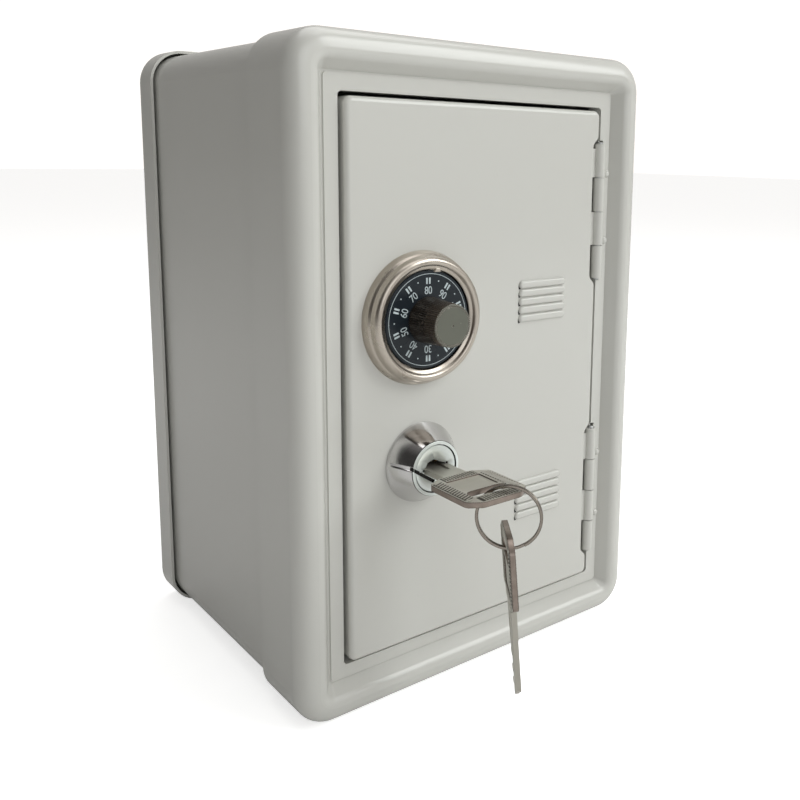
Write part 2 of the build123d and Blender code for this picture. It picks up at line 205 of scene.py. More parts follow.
def settle(piece):
    # puts the object's turn and place into its mesh
    select(piece)
    bpy.ops.object.transform_apply(location=True, rotation=True, scale=True)


def placeBy(piece, matrix):
    piece.matrix_world = matrix
    bpy.context.view_layer.update()
    settle(piece)


# shader groups that several finishes share

def newGroup(name, inputs, outputs):
    group = bpy.data.node_groups.new(name, "ShaderNodeTree")
    for label, kind, value in inputs:
        socket = group.interface.new_socket(name=label, in_out="INPUT", socket_type=kind)
        socket.default_value = value
    for label, kind in outputs:
        group.interface.new_socket(name=label, in_out="OUTPUT", socket_type=kind)
    return group, group.nodes.new("NodeGroupInput"), group.nodes.new("NodeGroupOutput")


def makeGrain():
    # fine surface unevenness: stretched noise as a height
    group, source, result = newGroup(
        "fineGrain",
        [("Scale", "NodeSocketFloat", 600.0), ("Stretch", "NodeSocketVector", (1, 1, 1)),
         ("Detail", "NodeSocketFloat", 2.0)],
        [("Height", "NodeSocketFloat")],
    )
    place = group.nodes.new("ShaderNodeTexCoord")
    turn = group.nodes.new("ShaderNodeMapping")
    noise = group.nodes.new("ShaderNodeTexNoise")
    link = group.links.new
    link(place.outputs["Object"], turn.inputs["Vector"])
    link(source.outputs["Stretch"], turn.inputs["Scale"])
    link(turn.outputs["Vector"], noise.inputs["Vector"])
    link(source.outputs["Scale"], noise.inputs["Scale"])
    link(source.outputs["Detail"], noise.inputs["Detail"])
    link(noise.outputs["Fac"], result.inputs["Height"])
    return group


def makeSmudge():
    # handled metal and enamel: roughness that drifts between two values, with faint wipe marks
    group, source, result = newGroup(
        "handledSurface",
        [("Low", "NodeSocketFloat", 0.2), ("High", "NodeSocketFloat", 0.3),
         ("Scale", "NodeSocketFloat", 60.0)],
        [("Roughness", "NodeSocketFloat")],
    )
    place = group.nodes.new("ShaderNodeTexCoord")
    cloud = group.nodes.new("ShaderNodeTexNoise")
    cloud.inputs["Detail"].default_value = 5.0
    cloud.inputs["Distortion"].default_value = 0.6
    turn = group.nodes.new("ShaderNodeMapping")
    turn.inputs["Scale"].default_value = (1.0, 4.0, 1.0)
    turn.inputs["Rotation"].default_value = (0.3, 0.5, 0.4)
    wipe = group.nodes.new("ShaderNodeTexNoise")
    wipe.inputs["Detail"].default_value = 3.0
    both = group.nodes.new("ShaderNodeMath")
    both.operation = "MULTIPLY"
    spread = group.nodes.new("ShaderNodeMapRange")
    spread.inputs["From Min"].default_value = 0.12
    spread.inputs["From Max"].default_value = 0.4
    link = group.links.new
    link(place.outputs["Object"], cloud.inputs["Vector"])
    link(place.outputs["Object"], turn.inputs["Vector"])
    link(turn.outputs["Vector"], wipe.inputs["Vector"])
    link(source.outputs["Scale"], cloud.inputs["Scale"])
    link(source.outputs["Scale"], wipe.inputs["Scale"])
    link(cloud.outputs["Fac"], both.inputs[0])
    link(wipe.outputs["Fac"], both.inputs[1])
    link(both.outputs["Value"], spread.inputs["Value"])
    link(source.outputs["Low"], spread.inputs["To Min"])
    link(source.outputs["High"], spread.inputs["To Max"])
    link(spread.outputs["Result"], result.inputs["Roughness"])
    return group


def makeTone():
    # a colour that drifts slightly over the surface and carries a few specks of dust
    group, source, result = newGroup(
        "driftingTone",
        [("Color", "NodeSocketColor", (0.7, 0.7, 0.7, 1)), ("Shade", "NodeSocketColor", (0.6, 0.6, 0.6, 1)),
         ("Speck", "NodeSocketColor", (0.2, 0.2, 0.2, 1)), ("Scale", "NodeSocketFloat", 18.0),
         ("Specks", "NodeSocketFloat", 0.3)],
        [("Color", "NodeSocketColor")],
    )
    place = group.nodes.new("ShaderNodeTexCoord")
    cloud = group.nodes.new("ShaderNodeTexNoise")
    cloud.inputs["Detail"].default_value = 4.0
    drift = group.nodes.new("ShaderNodeMix")
    drift.data_type = "RGBA"
    dust = group.nodes.new("ShaderNodeTexVoronoi")
    dust.inputs["Scale"].default_value = 260.0
    near = group.nodes.new("ShaderNodeMapRange")
    near.inputs["From Min"].default_value = 0.05
    near.inputs["From Max"].default_value = 0.11
    near.inputs["To Min"].default_value = 1.0
    near.inputs["To Max"].default_value = 0.0
    rare = group.nodes.new("ShaderNodeMath")
    rare.operation = "GREATER_THAN"
    rare.inputs[1].default_value = 0.82
    split = group.nodes.new("ShaderNodeSeparateColor")
    spot = group.nodes.new("ShaderNodeMath")
    spot.operation = "MULTIPLY"
    some = group.nodes.new("ShaderNodeMath")
    some.operation = "MULTIPLY"
    speckle = group.nodes.new("ShaderNodeMix")
    speckle.data_type = "RGBA"
    link = group.links.new
    link(place.outputs["Object"], cloud.inputs["Vector"])
    link(place.outputs["Object"], dust.inputs["Vector"])
    link(source.outputs["Scale"], cloud.inputs["Scale"])
    link(cloud.outputs["Fac"], drift.inputs["Factor"])
    link(source.outputs["Color"], drift.inputs["A"])
    link(source.outputs["Shade"], drift.inputs["B"])
    link(dust.outputs["Distance"], near.inputs["Value"])
    link(dust.outputs["Color"], split.inputs["Color"])
    link(split.outputs["Red"], rare.inputs[0])
    link(near.outputs["Result"], spot.inputs[0])
    link(rare.outputs["Value"], spot.inputs[1])
    link(spot.outputs["Value"], some.inputs[0])
    link(source.outputs["Specks"], some.inputs[1])
    link(some.outputs["Value"], speckle.inputs["Factor"])
    link(drift.outputs["Result"], speckle.inputs["A"])
    link(source.outputs["Speck"], speckle.inputs["B"])
    link(speckle.outputs["Result"], result.inputs["Color"])
    return group


def makeEdge():
    # near 1 on sharp edges and 0 elsewhere, broken up by noise
    group, source, result = newGroup(
        "edgeWearAndShadeMask",
        [("Width", "NodeSocketFloat", 0.0003), ("Amount", "NodeSocketFloat", 1.0)],
        [("Mask", "NodeSocketFloat")],
    )
    rounded = group.nodes.new("ShaderNodeBevel")
    rounded.samples = 4
    flat = group.nodes.new("ShaderNodeNewGeometry")
    match = group.nodes.new("ShaderNodeVectorMath")
    match.operation = "DOT_PRODUCT"
    spread = group.nodes.new("ShaderNodeMapRange")
    spread.inputs["From Min"].default_value = 0.985
    spread.inputs["From Max"].default_value = 0.86
    place = group.nodes.new("ShaderNodeTexCoord")
    noise = group.nodes.new("ShaderNodeTexNoise")
    noise.inputs["Scale"].default_value = 700.0
    broken = group.nodes.new("ShaderNodeMath")
    broken.operation = "MULTIPLY"
    some = group.nodes.new("ShaderNodeMath")
    some.operation = "MULTIPLY"
    some.use_clamp = True
    link = group.links.new
    link(source.outputs["Width"], rounded.inputs["Radius"])
    link(rounded.outputs["Normal"], match.inputs[0])
    link(flat.outputs["Normal"], match.inputs[1])
    link(match.outputs["Value"], spread.inputs["Value"])
    link(place.outputs["Object"], noise.inputs["Vector"])
    link(spread.outputs["Result"], broken.inputs[0])
    link(noise.outputs["Fac"], broken.inputs[1])
    link(broken.outputs["Value"], some.inputs[0])
    link(source.outputs["Amount"], some.inputs[1])
    link(some.outputs["Value"], result.inputs["Mask"])
    return group


grain, smudge, tone, edge = makeGrain(), makeSmudge(), makeTone(), makeEdge()
print("shader groups made")


def addGroup(material, group, **values):
    node = material.node_tree.nodes.new("ShaderNodeGroup")
    node.node_tree = group
    for label, value in values.items():
        node.inputs[label].default_value = value
    return node


def finish(name, look):
    # a finish from its dictionary: colours, gloss and grain, all procedural
    material = bpy.data.materials.new(name)
    material.use_nodes = True
    shader = material.node_tree.nodes["Principled BSDF"]
    link = material.node_tree.links.new
    for label, value in look.get("fixed", {}).items():
        shader.inputs[label].default_value = value
    colour = addGroup(
        material, tone, Color=(*look["colour"], 1), Shade=(*look["shade"], 1), Speck=(*look["speck"], 1),
        Scale=look.get("drift", 18.0), Specks=look.get("specks", 0.2),
    )
    gloss = addGroup(
        material, smudge, Low=look["gloss"][0], High=look["gloss"][1], Scale=look.get("smear", 60.0),
    )
    texture = addGroup(
        material, grain, Scale=look["grain"], Stretch=look.get("stretch", (1, 1, 1)),
        Detail=look.get("detail", 2.0),
    )
    bump = material.node_tree.nodes.new("ShaderNodeBump")
    bump.inputs["Strength"].default_value = look["bump"]
    bump.inputs["Distance"].default_value = look.get("depth", 0.05) * mm
    link(texture.outputs["Height"], bump.inputs["Height"])
    link(bump.outputs["Normal"], shader.inputs["Normal"])
    link(gloss.outputs["Roughness"], shader.inputs["Roughness"])
    # edge colour: light edge wear on the knob and the zinc parts, painted shade along the ring's and the
    # key's edges
    wearAndShade = look.get("wearAndShade")
    if wearAndShade:
        wearAndShadeNode = addGroup(material, edge, Width=wearAndShade["width"] * mm, Amount=wearAndShade["amount"])
        blend = material.node_tree.nodes.new("ShaderNodeMix")
        blend.data_type = "RGBA"
        blend.inputs["B"].default_value = (*wearAndShade["colour"], 1)
        link(wearAndShadeNode.outputs["Mask"], blend.inputs["Factor"])
        link(colour.outputs["Color"], blend.inputs["A"])
        link(blend.outputs["Result"], shader.inputs["Base Color"])
    else:
        link(colour.outputs["Color"], shader.inputs["Base Color"])
    return material


looks = {
    "enamel": {
        "colour": (0.59, 0.59, 0.555), "shade": (0.58, 0.575, 0.54), "speck": (0.42, 0.41, 0.38),
        "gloss": (0.25, 0.26), "grain": 260.0, "bump": 0.04, "depth": 0.06, "specks": 0.1, "detail": 1.0,
        "smear": 14.0, "fixed": {"Coat Weight": 0.3, "Coat Roughness": 0.12, "IOR": 1.5},
    },
    "platedNickel": {
        "colour": (0.56, 0.515, 0.455), "shade": (0.47, 0.42, 0.365), "speck": (0.14, 0.11, 0.09),
        "gloss": (0.24, 0.34), "grain": 1100.0, "bump": 0.14, "depth": 0.03, "specks": 0.35,
        "fixed": {"Metallic": 1.0},
    },
    "dialBlack": {
        "colour": (0.008, 0.013, 0.018), "shade": (0.013, 0.019, 0.025), "speck": (0.1, 0.12, 0.12),
        "gloss": (0.22, 0.34), "grain": 1200.0, "bump": 0.08, "depth": 0.02, "specks": 0.5,
        "fixed": {"Coat Weight": 0.08, "Coat Roughness": 0.1, "IOR": 1.33},
    },
    "printWhite": {
        "colour": (0.6, 0.68, 0.7), "shade": (0.5, 0.58, 0.6), "speck": (0.2, 0.25, 0.25),
        "gloss": (0.35, 0.5), "grain": 3000.0, "bump": 0.2, "depth": 0.01, "drift": 900.0, "specks": 0.4,
    },
    "knobSide": {
        "colour": (0.15, 0.12, 0.1), "shade": (0.1, 0.08, 0.066), "speck": (0.24, 0.2, 0.17),
        "gloss": (0.25, 0.4), "grain": 1400.0, "bump": 0.3, "depth": 0.03, "specks": 0.4,
        "fixed": {"Metallic": 0.85},
        "wearAndShade": {"width": 0.12, "amount": 1.2, "colour": (0.6, 0.56, 0.5)},
    },
    "knobFace": {
        "colour": (0.17, 0.175, 0.145), "shade": (0.145, 0.15, 0.125), "speck": (0.4, 0.4, 0.36),
        "gloss": (0.38, 0.5), "grain": 2600.0, "bump": 0.35, "depth": 0.02, "specks": 0.7, "drift": 300.0,
        "fixed": {"Metallic": 0.75},
        "wearAndShade": {"width": 0.12, "amount": 1.4, "colour": (0.75, 0.73, 0.68)},
    },
    "chrome": {
        "colour": (0.66, 0.66, 0.65), "shade": (0.58, 0.56, 0.57), "speck": (0.3, 0.28, 0.28),
        "gloss": (0.07, 0.14), "grain": 500.0, "bump": 0.05, "depth": 0.04, "specks": 0.3,
        "fixed": {"Metallic": 1.0},
    },
    "lockFace": {
        "colour": (0.78, 0.82, 0.79), "shade": (0.72, 0.77, 0.74), "speck": (0.4, 0.42, 0.4),
        "gloss": (0.26, 0.36), "grain": 1500.0, "bump": 0.12, "depth": 0.02, "specks": 0.4,
        "stretch": (1, 1, 0.2), "fixed": {"Metallic": 0.5},
    },
    # near black, painted shade for the keyway, the index groove, the walls inside the lock's nose and the
    # louvres' ends
    "keyway": {
        "colour": (0.008, 0.008, 0.007), "shade": (0.014, 0.012, 0.01), "speck": (0.05, 0.04, 0.035),
        "gloss": (0.6, 0.75), "grain": 1500.0, "bump": 0.3, "depth": 0.03, "specks": 0.2,
    },
    "keyNickel": {
        "colour": (0.47, 0.45, 0.4), "shade": (0.4, 0.385, 0.34), "speck": (0.16, 0.13, 0.1),
        "gloss": (0.3, 0.45), "grain": 1600.0, "bump": 0.3, "depth": 0.02, "specks": 0.5, "drift": 120.0,
        "fixed": {"Metallic": 0.8},
    },
    "keyEdge": {
        "colour": (0.38, 0.325, 0.285), "shade": (0.22, 0.175, 0.15), "speck": (0.6, 0.52, 0.48),
        "gloss": (0.3, 0.45), "grain": 1800.0, "bump": 0.5, "depth": 0.03, "specks": 0.5, "drift": 500.0,
        "fixed": {"Metallic": 1.0},
        # painted shade: the dark colour along the key's edges stands in for the shade where face turns into
        # side
        "wearAndShade": {"width": 0.4, "amount": 2.6, "colour": (0.05, 0.04, 0.033)},
    },
    "keyShade": {
        "colour": (0.075, 0.066, 0.055), "shade": (0.05, 0.044, 0.036), "speck": (0.2, 0.18, 0.15),
        "gloss": (0.4, 0.55), "grain": 1800.0, "bump": 0.3, "depth": 0.02, "specks": 0.3, "drift": 200.0,
        "fixed": {"Metallic": 0.9},
    },
    "ringSteel": {
        "colour": (0.36, 0.325, 0.285), "shade": (0.26, 0.23, 0.2), "speck": (0.1, 0.08, 0.07),
        "gloss": (0.16, 0.28), "grain": 1200.0, "bump": 0.1, "depth": 0.02, "specks": 0.4,
        "fixed": {"Metallic": 1.0},
        # painted shade: the dark colour on the ring's edges stands in for the shade on the wire's sides,
        # leaving its middle bright
        "wearAndShade": {"width": 0.3, "amount": 2.4, "colour": (0.05, 0.04, 0.035)},
    },
    "zinc": {
        "colour": (0.56, 0.57, 0.56), "shade": (0.44, 0.45, 0.46), "speck": (0.3, 0.26, 0.2),
        "gloss": (0.3, 0.48), "grain": 700.0, "bump": 0.2, "depth": 0.03, "specks": 0.4, "drift": 160.0,
        "fixed": {"Metallic": 1.0},
        "wearAndShade": {"width": 0.2, "amount": 0.8, "colour": (0.75, 0.75, 0.74)},
    },
    "brass": {
        "colour": (0.68, 0.5, 0.22), "shade": (0.55, 0.39, 0.16), "speck": (0.25, 0.17, 0.08),
        "gloss": (0.25, 0.4), "grain": 1100.0, "bump": 0.15, "depth": 0.02, "specks": 0.4,
        "stretch": (0.2, 1, 1), "fixed": {"Metallic": 1.0},
    },
}
finishes = {name: finish(name, look) for name, look in looks.items()}
print("finishes made:", len(finishes))


def paint(piece, *names):
    # gives a piece its finishes in slot order
    piece.data.materials.clear()
    for name in names:
        piece.data.materials.append(finishes[name])


nodeFinish = {
    "enamel": ["front_frame", "body_wrap", "rear_cover", "door_panel", "upper_door_leaf", "lower_door_leaf",
               "upper_frame_leaf", "lower_frame_leaf"],
    "zinc": ["upper_hinge_pin", "lower_hinge_pin", "dial_spindle", "dial_wave_washer", "dial_retaining_clip",
             "lock_washer", "lock_nut", "lock_cam", "cam_screw", "wafer_springs"],
    "brass": ["lock_wafers"],
}
for finishName, nodes in nodeFinish.items():
    for node in nodes:
        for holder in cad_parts[node].material_slots:
            holder.material = finishes[finishName]
print("carried nodes finished")

# pressed spots on the frame beside the hinges, and painted shade at the louvres' ends: flat dark discs stand
# in for the shaded gaps there

spots = {"side": 48.5, "heights": (145.2, 124.4, 55.0, 34.2),
         "outline": [(0, -46.95), (0.6, -46.85), (1.0, -46.5), (1.25, -45.95), (0, -45.95)]}
domes = []
for height in spots["heights"]:
    spot = Vector((spots["side"] * mm, 0, height * mm))
    domes.append(lathe("hingeSpot", spots["outline"], spot, steps=32, smoothAngle=60))
hingeSpots = joinAll("hingeSpots", domes)
paint(hingeSpots, "enamel")
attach(hingeSpots, "case")

louvres = {"left": 12.35, "face": -48.0, "groups": (108.2, 47.4), "rows": 5, "pitch": 2.5, "thickness": 0.06,
           "outline": [(-0.35, -0.75), (0.3, -0.6), (0.5, 0), (0.3, 0.6), (-0.35, 0.75), (-0.5, 0)]}
shadeDiscs = []
for group in louvres["groups"]:
    for row in range(louvres["rows"]):
        shadeDisc = sheetShape("shadeDisc", louvres["outline"], louvres["thickness"])
        height = group + (row - (louvres["rows"] - 1) / 2 - 0.25) * louvres["pitch"]
        spot = Matrix.Translation((louvres["left"] * mm, louvres["face"] * mm, height * mm))
        placeBy(shadeDisc, spot @ Matrix.Rotation(math.radians(90), 4, "X"))
        shadeDiscs.append(shadeDisc)
# painted shade: the dark discs take the near-black keyway finish
louvreShadeDiscs = joinAll("louvreShadeDiscs", shadeDiscs)
paint(louvreShadeDiscs, "keyway")
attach(louvreShadeDiscs, "door")
print("frame spots and louvre ends made")

# the dial

dial = {
    "doorFace": -48.0, "discFace": -51.5, "markRise": 0.03,
    "ringOutline": [
        (10.5, -48.0), (18.2, -48.0), (18.1, -48.5), (17.65, -49.85), (17.4, -50.25), (17.15, -50.4),
        (17.05, -50.7), (16.95, -51.4), (16.78, -52.0), (16.5, -52.5), (16.1, -52.82), (15.6, -52.97),
        (15.15, -52.92), (14.8, -52.68), (14.58, -52.35), (14.45, -52.1), (14.2, -51.98), (13.62, -51.72),
        (13.48, -51.55), (13.5, -51.3), (14.3, -51.5), (15.2, -52.2), (15.9, -52.1), (16.3, -51.2),
        (16.6, -50.2), (17.2, -48.7), (10.5, -48.7),
    ],
    "discOutline": [(2.0, -51.5), (12.95, -51.5), (13.2, -51.3), (13.2, -50.3), (4.2, -50.3), (4.2, -48.1),
                    (2.0, -48.1)],
    "circle": (12.22, 12.36), "topNumber": 80, "lastNumber": 100, "numberStep": 10,
    "numberRadius": 7.8, "numberSize": 2.95, "numberSpacing": 0.95, "numberWidth": 0.86,
    "barInner": 9.6, "barOuter": 11.25, "barWidth": 0.55, "barTaper": 0.8, "barSpread": 0.46,
    "dotRadius": 10.6, "dotSize": 0.2, "dotSides": 10,
    "tabs": 3, "tabRadius": 15.2, "tabWidth": 3.0,
    "tabOutline": [(0, 0.3), (0, -2.0), (2.4, -2.0), (2.4, -1.4), (0.6, -1.4), (0.6, 0.3)],
    "indexOutline": [(-1.0, 13.7), (1.0, 13.7), (0.65, 14.7), (-0.65, 14.7)],
    "indexThickness": 0.75, "indexFace": -52.1, "indexLean": 104,
}
dialCentre = middle("dial_disc")

dialRing = lathe("dialRing", dial["ringOutline"], dialCentre, steps=144, smoothAngle=50)
tabs = []
for index in range(dial["tabs"]):
    tab = sheetShape("ringTab", dial["tabOutline"], dial["tabWidth"])
    softenEdges(tab, 0.12)
    turn = Matrix.Rotation(index * full / dial["tabs"], 4, "Y")
    flip = Matrix.Scale(-1, 4, (0, 1, 0))
    start = Matrix.Translation((dial["tabRadius"] * mm, dial["doorFace"] * mm, 0))
    placeBy(tab, Matrix.Translation((dialCentre.x, 0, dialCentre.z)) @ turn @ start @ flip)
    # the flip turned the tab inside out
    bpy.ops.object.mode_set(mode="EDIT")
    bpy.ops.mesh.select_all(action="SELECT")
    bpy.ops.mesh.normals_make_consistent(inside=False)
    bpy.ops.object.mode_set(mode="OBJECT")
    tabs.append(tab)
indexMark = sheetShape("indexMark", dial["indexOutline"], dial["indexThickness"])
softenEdges(indexMark, 0.15, 3)
indexSpot = Matrix.Translation((dialCentre.x, dial["indexFace"] * mm, dialCentre.z))
placeBy(indexMark, indexSpot @ Matrix.Rotation(math.radians(dial["indexLean"]), 4, "X"))
dialRing = joinAll("dialRing", [dialRing, *tabs, indexMark])
paint(dialRing, "platedNickel")
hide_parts("dial_ring")
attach(dialRing, "door")

dialDisc = lathe("dialDisc", dial["discOutline"], dialCentre, steps=128)
paint(dialDisc, "dialBlack")
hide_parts("dial_disc")
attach(dialDisc, "dial")

printed = dial["discFace"] - dial["markRise"]
inner, outer = dial["circle"]
rimOutline = [(inner, dial["discFace"]), (inner, printed), (outer, printed), (outer, dial["discFace"])]
marks = [lathe("rimCircle", rimOutline, dialCentre, steps=128)]


def onDial(angle, radius):
    # a place on the dial, turned so that its own up points outward
    spot = Matrix.Translation((dialCentre.x, dial["discFace"] * mm, dialCentre.z))
    outward = Matrix.Rotation(angle, 4, "Y") @ Matrix.Translation((0, 0, radius * mm))
    return spot @ outward @ Matrix.Rotation(math.radians(90), 4, "X")


dotTurns = [step * full / dial["dotSides"] for step in range(dial["dotSides"])]
dotOutline = [(dial["dotSize"] * math.cos(turn), dial["dotSize"] * math.sin(turn)) for turn in dotTurns]
barHalf, barReach = dial["barWidth"] / 2, (dial["barOuter"] - dial["barInner"]) / 2
barFoot = barHalf * dial["barTaper"]
barOutline = [(-barFoot, -barReach), (barFoot, -barReach), (barHalf, barReach), (-barHalf, barReach)]
for number in range(dial["numberStep"], dial["lastNumber"] + 1, dial["numberStep"]):
    angle = (number - dial["topNumber"]) / dial["lastNumber"] * full
    bpy.ops.object.select_all(action="DESELECT")
    bpy.ops.object.text_add()
    text = bpy.context.active_object
    text.data.body = str(number)
    text.data.align_x = "CENTER"
    text.data.align_y = "CENTER"
    text.data.size = dial["numberSize"] * mm
    text.data.extrude = dial["markRise"] * mm
    text.data.space_character = dial["numberSpacing"]
    bpy.ops.object.convert(target="MESH")
    placeBy(text, onDial(angle, dial["numberRadius"]) @ Matrix.Diagonal((dial["numberWidth"], 1, 1, 1)))
    marks.append(text)
    for side in (-1, 1):
        bar = sheetShape("bar", barOutline, 2 * dial["markRise"])
        aside = Matrix.Translation((side * dial["barSpread"] * mm, 0, 0))
        placeBy(bar, onDial(angle, dial["barInner"] + barReach) @ aside)
        marks.append(bar)
    halfway = angle + dial["numberStep"] / 2 / dial["lastNumber"] * full
    dot = sheetShape("dot", dotOutline, 2 * dial["markRise"])
    placeBy(dot, onDial(halfway, dial["dotRadius"]))
    marks.append(dot)
dialPrint = joinAll("dialPrint", marks)
paint(dialPrint, "printWhite")
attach(dialPrint, "dial")
print("dial ring, disc and print made")

knob = {
    "grooves": 62, "grooveDepth": 0.25, "baseRadius": 6.25, "frontRadius": 5.65,
    "back": -51.45, "front": -62.4,
    "insets": [(0.28, 0.13), (0.2, 0.0), (0.1, -0.09), (0.1, 0.09), (4.6, -0.02), (0.12, -0.14)],
}
knobLength = knob["back"] - knob["front"]
bpy.ops.object.select_all(action="DESELECT")
bpy.ops.mesh.primitive_cylinder_add(
    vertices=knob["grooves"] * 4, radius=knob["baseRadius"] * mm, depth=knobLength * mm,
    location=(dialCentre.x, (knob["back"] + knob["front"]) / 2 * mm, dialCentre.z),
    rotation=(math.radians(90), 0, 0),
)
dialKnob = bpy.context.active_object
dialKnob.name = dialKnob.data.name = "dialKnob"
settle(dialKnob)
bpy.ops.object.mode_set(mode="EDIT")
knobMiddle = (dialCentre.x, knob["front"] * mm, dialCentre.z)
taper = knob["frontRadius"] / knob["baseRadius"]
shrink = 1 - knob["grooveDepth"] / knob["baseRadius"]


def grooveBottom(vert):
    # every fourth vertex of the side's two outlines
    across, up = vert.co.x - dialCentre.x, vert.co.z - dialCentre.z
    step = round(math.atan2(up, across) / full * knob["grooves"] * 4)
    return step % 4 == 0 and math.hypot(across, up) > (knob["frontRadius"] - 0.05) * mm


pickVerts(dialKnob, lambda vert: abs(vert.co.y - knobMiddle[1]) < 0.01 * mm)
bpy.ops.transform.resize(value=(taper, 1, taper), center_override=knobMiddle)
pickFaces(dialKnob, lambda centre, normal: normal.y < -0.9)
for thickness, depth in knob["insets"]:
    bpy.ops.mesh.inset(thickness=thickness * mm, depth=depth * mm)
pickVerts(dialKnob, grooveBottom)
bpy.ops.transform.resize(value=(shrink, 1, shrink), center_override=knobMiddle)
finishMesh(dialKnob, 30)
paint(dialKnob, "knobSide", "knobFace")
for face in dialKnob.data.polygons:
    if face.normal.y < -0.75:
        face.material_index = 1
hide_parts("dial_knob")
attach(dialKnob, "dial")
print("knob made")

# the lock

lock = {
    "housingOutline": [
        (6.68, -55.5), (7.3, -55.5), (7.5, -55.4), (7.62, -55.15), (11.08, -48.8), (11.2, -48.5),
        (11.2, -48.0), (5.7, -48.0), (5.7, -37.4), (5.4, -37.0), (4.35, -37.0), (4.35, -53.7), (6.68, -53.7),
    ],
    "plugOutline": [(0, -55.25), (6.3, -55.25), (6.42, -55.12), (6.42, -53.75), (4.25, -53.75), (4.25, -36.9),
                    (0, -36.9)],
    "keyway": [(-4.9, -0.5), (-4.7, -0.1), (-3.3, 0.75), (-2.7, 2.0), (-0.6, 2.7), (1.2, 1.75), (3.2, 0.95),
               (3.8, 1.35), (4.1, 0.4), (6.0, -0.6), (4.0, -0.5), (3.3, -1.05), (-3.3, -1.05), (-3.5, -0.4)],
    "keywayDepth": 6.0, "plugFace": -55.25, "plugRadius": 6.3, "coreRadius": 4.25, "darkFrom": -55.2,
    "darkTo": -48.0, "noseRadius": 7.75, "noseBack": -54.4, "noseFace": -55.3,
    "groove": [(-8.15, 1.05), (-7.65, 1.8), (-0.25, -3.2), (-0.75, -3.95)],
    "grooveCut": 1.6, "grooveMiddle": -55.4,
    "threadRadius": 5.65, "threadPitch": 1.0, "threadTurns": 9,
    "threadOutline": [(-0.05, -46.75), (-0.05, -47.65), (0.33, -47.25), (0.33, -47.15)],
    "tail": 4.6, "tailEnd": -35.4, "tailThickness": 1.5,
}
lockCentre = middle("lock_housing")
lockHousing = lathe("lockHousing", lock["housingOutline"], lockCentre, steps=128, smoothAngle=30)
thread = startMesh("barrelThread")
drawLine([Vector(((lock["threadRadius"] + rise) * mm, y * mm, 0)) for rise, y in lock["threadOutline"]])
closeLine(thread)
bpy.ops.object.mode_set(mode="OBJECT")
bpy.ops.object.modifier_add(type="SCREW")
screw = thread.modifiers[-1]
screw.axis = "Y"
screw.screw_offset = lock["threadPitch"] * mm
screw.iterations = lock["threadTurns"]
screw.steps = screw.render_steps = 48
bpy.ops.object.modifier_apply(modifier=screw.name)
bpy.ops.object.mode_set(mode="EDIT")
pickEdges(thread, lambda one: one.is_boundary)
bpy.ops.mesh.fill()
finishMesh(thread, 30)
placeBy(thread, Matrix.Translation((lockCentre.x, 0, lockCentre.z)))
lockHousing = joinAll("lockHousing", [lockHousing, thread])
paint(lockHousing, "chrome", "lockFace", "keyway")

lockPlug = lathe("lockPlug", lock["plugOutline"], lockCentre, steps=128, closed=False, smoothAngle=30)


def standing(depth):
    # turns a flat plate to face the front, at this depth on the lock's axis
    spot = Matrix.Translation((lockCentre.x, depth * mm, lockCentre.z))
    return spot @ Matrix.Rotation(math.radians(90), 4, "X")


keywayCutter = sheetShape("keywayCutter", lock["keyway"], 2 * lock["keywayDepth"])
placeBy(keywayCutter, standing(lock["plugFace"]))
cutAway(lockPlug, keywayCutter)
for piece in (lockPlug, lockHousing):
    grooveCutter = sheetShape("grooveCutter", lock["groove"], lock["grooveCut"])
    placeBy(grooveCutter, standing(lock["grooveMiddle"]))
    cutAway(piece, grooveCutter)
paint(lockPlug, "lockFace", "keyway")
for face in lockPlug.data.polygons:
    # painted shade: the keyway's and the groove's walls take the near-black finish, but not the core's own
    # side
    reach = math.hypot(face.center.x - lockCentre.x, face.center.z - lockCentre.z) / mm
    inside = reach < lock["plugRadius"] and lock["darkFrom"] < face.center.y / mm < lock["darkTo"]
    if inside and abs(reach - lock["coreRadius"]) > 0.06:
        face.material_index = 1
for face in lockHousing.data.polygons:
    # a satin face on the nose, and painted shade on the walls inside it
    reach = math.hypot(face.center.x - lockCentre.x, face.center.z - lockCentre.z) / mm
    depth = face.center.y / mm
    if depth < lock["noseBack"] and reach < lock["noseRadius"]:
        face.material_index = 1 if face.normal.y < -0.6 and depth < lock["noseFace"] else 2
plugTail = sheetShape("plugTail", oblong(0, 0, lock["tail"], lock["tail"]), lock["tailThickness"])
softenEdges(plugTail, 0.2)
placeBy(plugTail, standing(lock["tailEnd"] - lock["tailThickness"] / 2))
paint(plugTail, "lockFace")
lockPlug = joinAll("lockPlug", [lockPlug, plugTail])
for piece, node, body in ((lockHousing, "lock_housing", "door"), (lockPlug, "lock_plug", "lock_core")):
    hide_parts(node)
    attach(piece, body)
print("lock made")

# the keys

keyShape = {
    "thickness": 1.5, "bowLength": 20.0, "bowWidth": 19.2, "neckLength": 8.5, "neckWidth": 7.6,
    "bladeLength": 16.4, "bladeWidth": 6.0, "strip": 4.2, "slotWidth": 3.6, "slotLength": 12.3,
    "panelWidth": 10.8, "panelLength": 8.0, "panelMiddle": 7.4, "panelCut": 0.5,
    "grooveWidth": 1.4, "grooveLength": 21.0, "grooveMiddle": 6.5, "grooveCut": 0.8, "grooveSide": 1.1,
    "ridgePitch": 1.0, "ridgeHeight": 0.17, "ridgeWidth": 0.54, "ridgeLean": -22,
    "columns": 12, "columnPitch": 0.85, "shadeBedThickness": 0.04,
}


